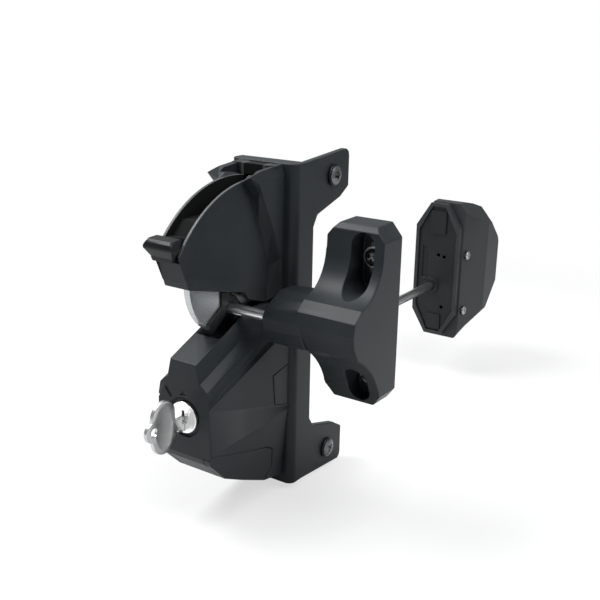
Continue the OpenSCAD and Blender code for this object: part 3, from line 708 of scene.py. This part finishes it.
soft = {}
for node, look in softEdges.items():
    name = pieceName(node, look)
    mesh = mergedCopy(name, nodes[node].data)
    if "cut" in look:
        mesh = mergedCopy(name, carved(mesh, prismMesh(look["cut"])))
    addRounding(mesh, look)
    soft[node] = addPiece(name, mesh, node, look["finish"])
    evenShading(soft[node])
for node, finish in plainNodes.items():
    nodes[node].data.materials.clear()
    nodes[node].data.materials.append(finishes[finish])
print("rounded pieces:", {node: len(piece.data.polygons) for node, piece in soft.items()})


# Screws, in mm; z runs along the axis from the seat, negative into the hole
screwCrease, washerCrease = 40, 50     # degrees
threadShape = {"columns": 96, "pitch": 1.1, "depth": 0.18, "perPitch": 8, "tipRadius": 0.55,
               "tipStart": 0.4, "headStart": 0.6, "taper": 1.5, "taperShare": 0.3}
domeShape = {"rows": 34, "power": 2.6}
recessShape = {"armWidth": 0.62, "armLength": 2.35, "depth": 1.5, "flank": 0.3, "ends": 0.5, "power": 0.7}


def crossRecess(x, y, size):
    # a cross socket: depth falls away along each arm and at its flanks
    wide, long = recessShape["armWidth"] * size, recessShape["armLength"] * size

    def arm(a, b):
        across = np.clip((wide - np.abs(a)) / (recessShape["flank"] * wide) + 0.5, 0, 1)
        along = np.clip((long - np.abs(b)) / (recessShape["ends"] * long), 0, 1)
        return across * across * (3 - 2 * across) * along ** recessShape["power"]

    return np.maximum(arm(x, y), arm(y, x)) * recessShape["depth"] * size


def screwMesh(screw, length, seat, axis, along):
    # a turned profile from the tip to the dome, each row a ring; the shank's rings swell with
    # a helix for the thread and the dome's rings sink into the cross socket
    thread, shank, head = threadShape, screw["shank"], screw["head"]
    turn = circleAngles(thread["columns"])
    rows = [(0, -length), (thread["tipRadius"] * shank, -length)]
    steps = int(length / thread["pitch"] * thread["perPitch"])
    for z in np.linspace(-length + thread["tipStart"], -thread["headStart"], steps):
        phase = (z / thread["pitch"] - turn / (2 * math.pi)) % 1
        tip = min(1, (z + length) / thread["taper"])
        swell = thread["depth"] * (1 - np.abs(2 * phase - 1)) * 2 - thread["depth"] * 2
        rows.append(((shank + swell) * (1 - thread["taperShare"] * (1 - tip)), z))
    rows += screw["rings"]
    seatTop = screw["rings"][-1][1]
    for share in np.linspace(1, 0, domeShape["rows"]):
        r = head * math.sin(share * math.pi / 2)
        z = seatTop + screw["dome"] * (1 - (r / head) ** domeShape["power"])
        rows.append((r, z - crossRecess(r * np.cos(turn), r * np.sin(turn), screw["recess"])))
    r, z = (np.array([row[k] + 0 * turn for row in rows]) for k in (0, 1))     # each row a full ring
    axis, side = np.array(axis, float), np.array(along, float)
    third = np.cross(axis, side)
    points = (np.array(seat, float) + z[..., None] * axis
              + r[..., None] * (np.cos(turn)[None, :, None] * side + np.sin(turn)[None, :, None] * third))
    return gridMesh("screw", points * mm)


def addScrews(name, node, finish, meshes):
    mesh = joinMeshes(name, meshes)
    smoothFaces(mesh, screwCrease)
    addPiece(name, mesh, node, finish)


# the two screws of the flange tabs; rings are (radius, height) of the shoulder and the head's side
postScrew = {"shank": 2.6, "head": 5.4, "dome": 1.2, "recess": 1.25, "flangeBehindHead": 3.4,
             "rings": [(2.7, -4.4), (2.7, 1.0), (5.4, 1.5), (5.5, 1.9), (5.4, 2.2)], "turns": (0.18, 0.9)}
postWasher = {"bore": 2.8, "height": 1.6, "columns": 96, "soften": 0.3, "shoulder": 0.15, "top": 0.5}
low, high = boxOf("post_screws")
washerRadius = (high[1] - low[1]) / 2
flangeX, postY = high[0] - postScrew["flangeBehindHead"], (high[1] + low[1]) / 2
postHeights = (high[2] - washerRadius, low[2] + washerRadius)
addScrews("postScrewsTurned", "post_screws", "darkScrew", [
    screwMesh(postScrew, flangeX - low[0], (flangeX, postY, z), (1, 0, 0),
              (0, math.cos(turned), math.sin(turned)))
    for z, turned in zip(postHeights, postScrew["turns"])])


def washerMesh(washer, radius, seat):
    # a ring about the X axis whose outer edge is rounded off; the rows close through its bore
    height, soften, shoulder, top = (washer[key] for key in ("height", "soften", "shoulder", "top"))
    rings = [(washer["bore"], 0), (radius - soften, 0), (radius, soften), (radius, height - top),
             (radius - shoulder, height - shoulder), (radius - top, height), (washer["bore"], height)]
    turn = circleAngles(washer["columns"])
    r, x = np.array(rings).T[:, :, None]
    points = np.stack([x + 0 * turn, r * np.cos(turn), r * np.sin(turn)], -1) + np.array(seat, float)
    mesh = bpy.data.meshes.new("washer")
    mesh.from_pydata((points.reshape(-1, 3) * mm).tolist(), [],
                     ringQuads(len(rings), washer["columns"], closed=True).tolist())
    return mesh


mesh = joinMeshes("postScrewWashers", [
    washerMesh(postWasher, washerRadius, (flangeX, postY, z)) for z in postHeights])
smoothFaces(mesh, washerCrease)
addPiece("postScrewWashers", mesh, "post_screws", "darkSteel", replaced=False)

# the two screws deep in the striker's wells
strikerScrew = {"shank": 2.5, "head": 4.6, "dome": 2.6, "recess": 1.05,
                "rings": [(2.6, 0), (2.6, 8.6), (4.2, 8.6), (4.6, 8.9), (4.6, 9.6)], "turns": (0.5, 0.1)}
low, high = boxOf("striker_screws")
strikerX = (low[0] + high[0]) / 2
strikerHeights = (high[2] - strikerScrew["head"], low[2] + strikerScrew["head"])
addScrews("strikerScrewsTurned", "striker_screws", "darkScrew", [
    screwMesh(strikerScrew, high[1], (strikerX, 0, z), (0, -1, 0),
              (math.cos(turned), 0, math.sin(turned)))
    for z, turned in zip(strikerHeights, strikerScrew["turns"])])

# the two screws in the side of the outside unit
outsideScrew = {"shank": 1.6, "head": 3.4, "dome": 1.2, "recess": 0.8, "headHeight": 2.0,
                "rings": [(1.6, 0), (3.2, 0.0), (3.4, 0.3), (3.4, 0.8)], "turned": 0.4}
low, high = boxOf("outside_screws")
outsideX, outsideY = high[0] - outsideScrew["headHeight"], (low[1] + high[1]) / 2
outsideAlong = (0, math.cos(outsideScrew["turned"]), math.sin(outsideScrew["turned"]))
addScrews("outsideScrewsTurned", "outside_screws", "screwZinc", [
    screwMesh(outsideScrew, outsideX - low[0], (outsideX, outsideY, z), (1, 0, 0), outsideAlong)
    for z in (high[2] - outsideScrew["head"], low[2] + outsideScrew["head"])])
print("screws turned")


# The shallow dish on each side of the key's bow, in mm
dish = {"halfWidth": 6.9, "halfHeight": 12.6, "depth": 0.55, "thick": 3.2, "rows": 40, "columns": 64,
        "bowReach": 15.9, "crease": 30}


def ellipsoidMesh(centre, radii, rows, columns):
    # latitude and longitude give a point on a sphere, scaled along each axis
    latitude = np.linspace(-math.pi / 2, math.pi / 2, rows)[:, None]
    longitude = circleAngles(columns)[None, :]
    unit = np.stack([np.cos(latitude) * np.cos(longitude), np.cos(latitude) * np.sin(longitude),
                     np.sin(latitude) + 0 * longitude], -1)
    return gridMesh("ellipsoid", (np.array(centre) + unit * np.array(radii)) * mm)


low, high = boxOf("key")
bowY, bowZ = plugLow[1] - dish["bowReach"], (low[2] + high[2]) / 2
dishOut = (high[0] - low[0]) / 2 + dish["thick"] - dish["depth"]
share = math.sqrt(1 - ((dish["thick"] - dish["depth"]) / dish["thick"]) ** 2)
dishRadii = (dish["thick"], dish["halfWidth"] / share, dish["halfHeight"] / share)
dishes = joinMeshes("dishes", [
    ellipsoidMesh((side * dishOut, bowY, bowZ), dishRadii, dish["rows"], dish["columns"])
    for side in (-1, 1)])
soft["key"].data = carved(soft["key"].data, dishes, evenShading)
soft["key"].modifiers.clear()
smoothFaces(soft["key"].data, dish["crease"])
print("key dished:", len(soft["key"].data.polygons))


# Floor and surroundings
room = {"floorDrop": 0.3, "floorLift": 0.62, "floorSize": 6.0, "floorColour": (0.72, 0.725, 0.73),
        "floorRough": 0.9, "floorSpecular": 0.1, "middle": (0.02, 0.05), "fadeStart": 0.28,
        "fadeEnd": 0.62, "ambient": 0.19, "mirrored": 0.42, "white": 1.0}
floorZ = cadLow.z - room["floorDrop"] * mm
half = room["floorSize"] / 2
floorMesh = bpy.data.meshes.new("floor")
floorMesh.from_pydata([(-half, -half, floorZ), (half, -half, floorZ), (half, half, floorZ),
                       (-half, half, floorZ)], [], [(0, 1, 2, 3)])
floor = addObject("floor", floorMesh)


def floorMaterial():
    # pale floor that keeps the shadow near the object and fades to plain white further out
    material, tree, shader, out, where = newMaterial("paleFloor")
    shader.inputs["Base Color"].default_value = (*room["floorColour"], 1)
    shader.inputs["Roughness"].default_value = room["floorRough"]
    shader.inputs["Specular IOR Level"].default_value = room["floorSpecular"]
    x, y, z = coordinates(tree, where)
    distance = distanceFrom(x - room["middle"][0], y - room["middle"][1])
    fade = distance.within(room["fadeStart"], room["fadeEnd"])
    path = addNode(tree, "ShaderNodeLightPath", {}, {})
    glow = addNode(tree, "ShaderNodeEmission", {}, {"Color": (1, 1, 1), "Strength": room["white"]})
    factor = fade.atLeast(room["floorLift"]) * Value(tree, path.outputs["Is Camera Ray"])
    mixed = addNode(tree, "ShaderNodeMixShader", {},
                    {0: factor, 1: shader.outputs[0], 2: glow.outputs[0]})
    tree.links.new(mixed.outputs[0], out.inputs["Surface"])
    return material


floorMesh.materials.append(floorMaterial())

world = bpy.data.worlds.new("studio")
bpy.context.scene.world = world
world.use_nodes = True
tree = world.node_tree
tree.nodes.clear()
path = addNode(tree, "ShaderNodeLightPath", {}, {})
seen = Value(tree, path.outputs["Is Camera Ray"])
mirrored = Value(tree, path.outputs["Is Glossy Ray"])
strength = (room["ambient"] + (room["white"] - room["ambient"]) * seen
            + (room["mirrored"] - room["ambient"]) * mirrored)
back = addNode(tree, "ShaderNodeBackground", {}, {"Color": (1, 1, 1), "Strength": strength})
addNode(tree, "ShaderNodeOutputWorld", {}, {"Surface": back.outputs[0]})

# Lamps, in metres and watts
lamps = {
    "keyLamp": {"place": (0.8, 0.15, 0.75), "size": 0.8, "power": 6.6, "aim": (0, 0, 0)},
    "fillLamp": {"place": (0.6, -1.0, 0.3), "size": 0.9, "power": 0.15, "aim": (0, 0, -0.02)},
    "edgeLamp": {"place": (-0.56, -0.27, 0.92), "size": 0.6, "power": 15.0, "aim": (0.05, -0.03, 0.05)},
    "backLamp": {"place": (-0.5, 0.42, 0.9), "size": 0.7, "power": 2.0, "aim": (0.04, -0.03, 0)},
    "topLamp": {"place": (0.36, -0.16, 1.05), "size": 0.7, "power": 7.5, "aim": (0.02, -0.04, -0.02)},
}
for name, lamp in lamps.items():
    data = bpy.data.lights.new(name, "AREA")
    data.shape = "DISK"
    data.size = lamp["size"]
    data.energy = lamp["power"]
    light = addObject(name, data)
    light.location = lamp["place"]
    light.rotation_mode = "QUATERNION"
    light.rotation_quaternion = (Vector(lamp["aim"]) - Vector(lamp["place"])).to_track_quat("-Z", "Y")

# Camera: its place, and the directions of the picture's right and top
shot = {"place": (0.3005, -0.4151, 0.1536), "right": (0.8257, 0.5639, 0.0169),
        "up": (-0.1814, 0.2371, 0.9544), "lens": 54.18, "sensor": 36, "nearest": 0.01}
cameraData = bpy.data.cameras.new("camera")
cameraData.lens = shot["lens"]
cameraData.sensor_width = shot["sensor"]
cameraData.clip_start = shot["nearest"]
camera = addObject("camera", cameraData)
right = Vector(shot["right"]).normalized()
backward = right.cross(Vector(shot["up"])).normalized()
upward = backward.cross(right)
turned = Matrix((right, upward, backward)).transposed().to_4x4()
camera.matrix_world = Matrix.Translation(shot["place"]) @ turned
bpy.context.scene.camera = camera
bpy.context.scene.view_settings.view_transform = "Standard"
print("camera and light ready")
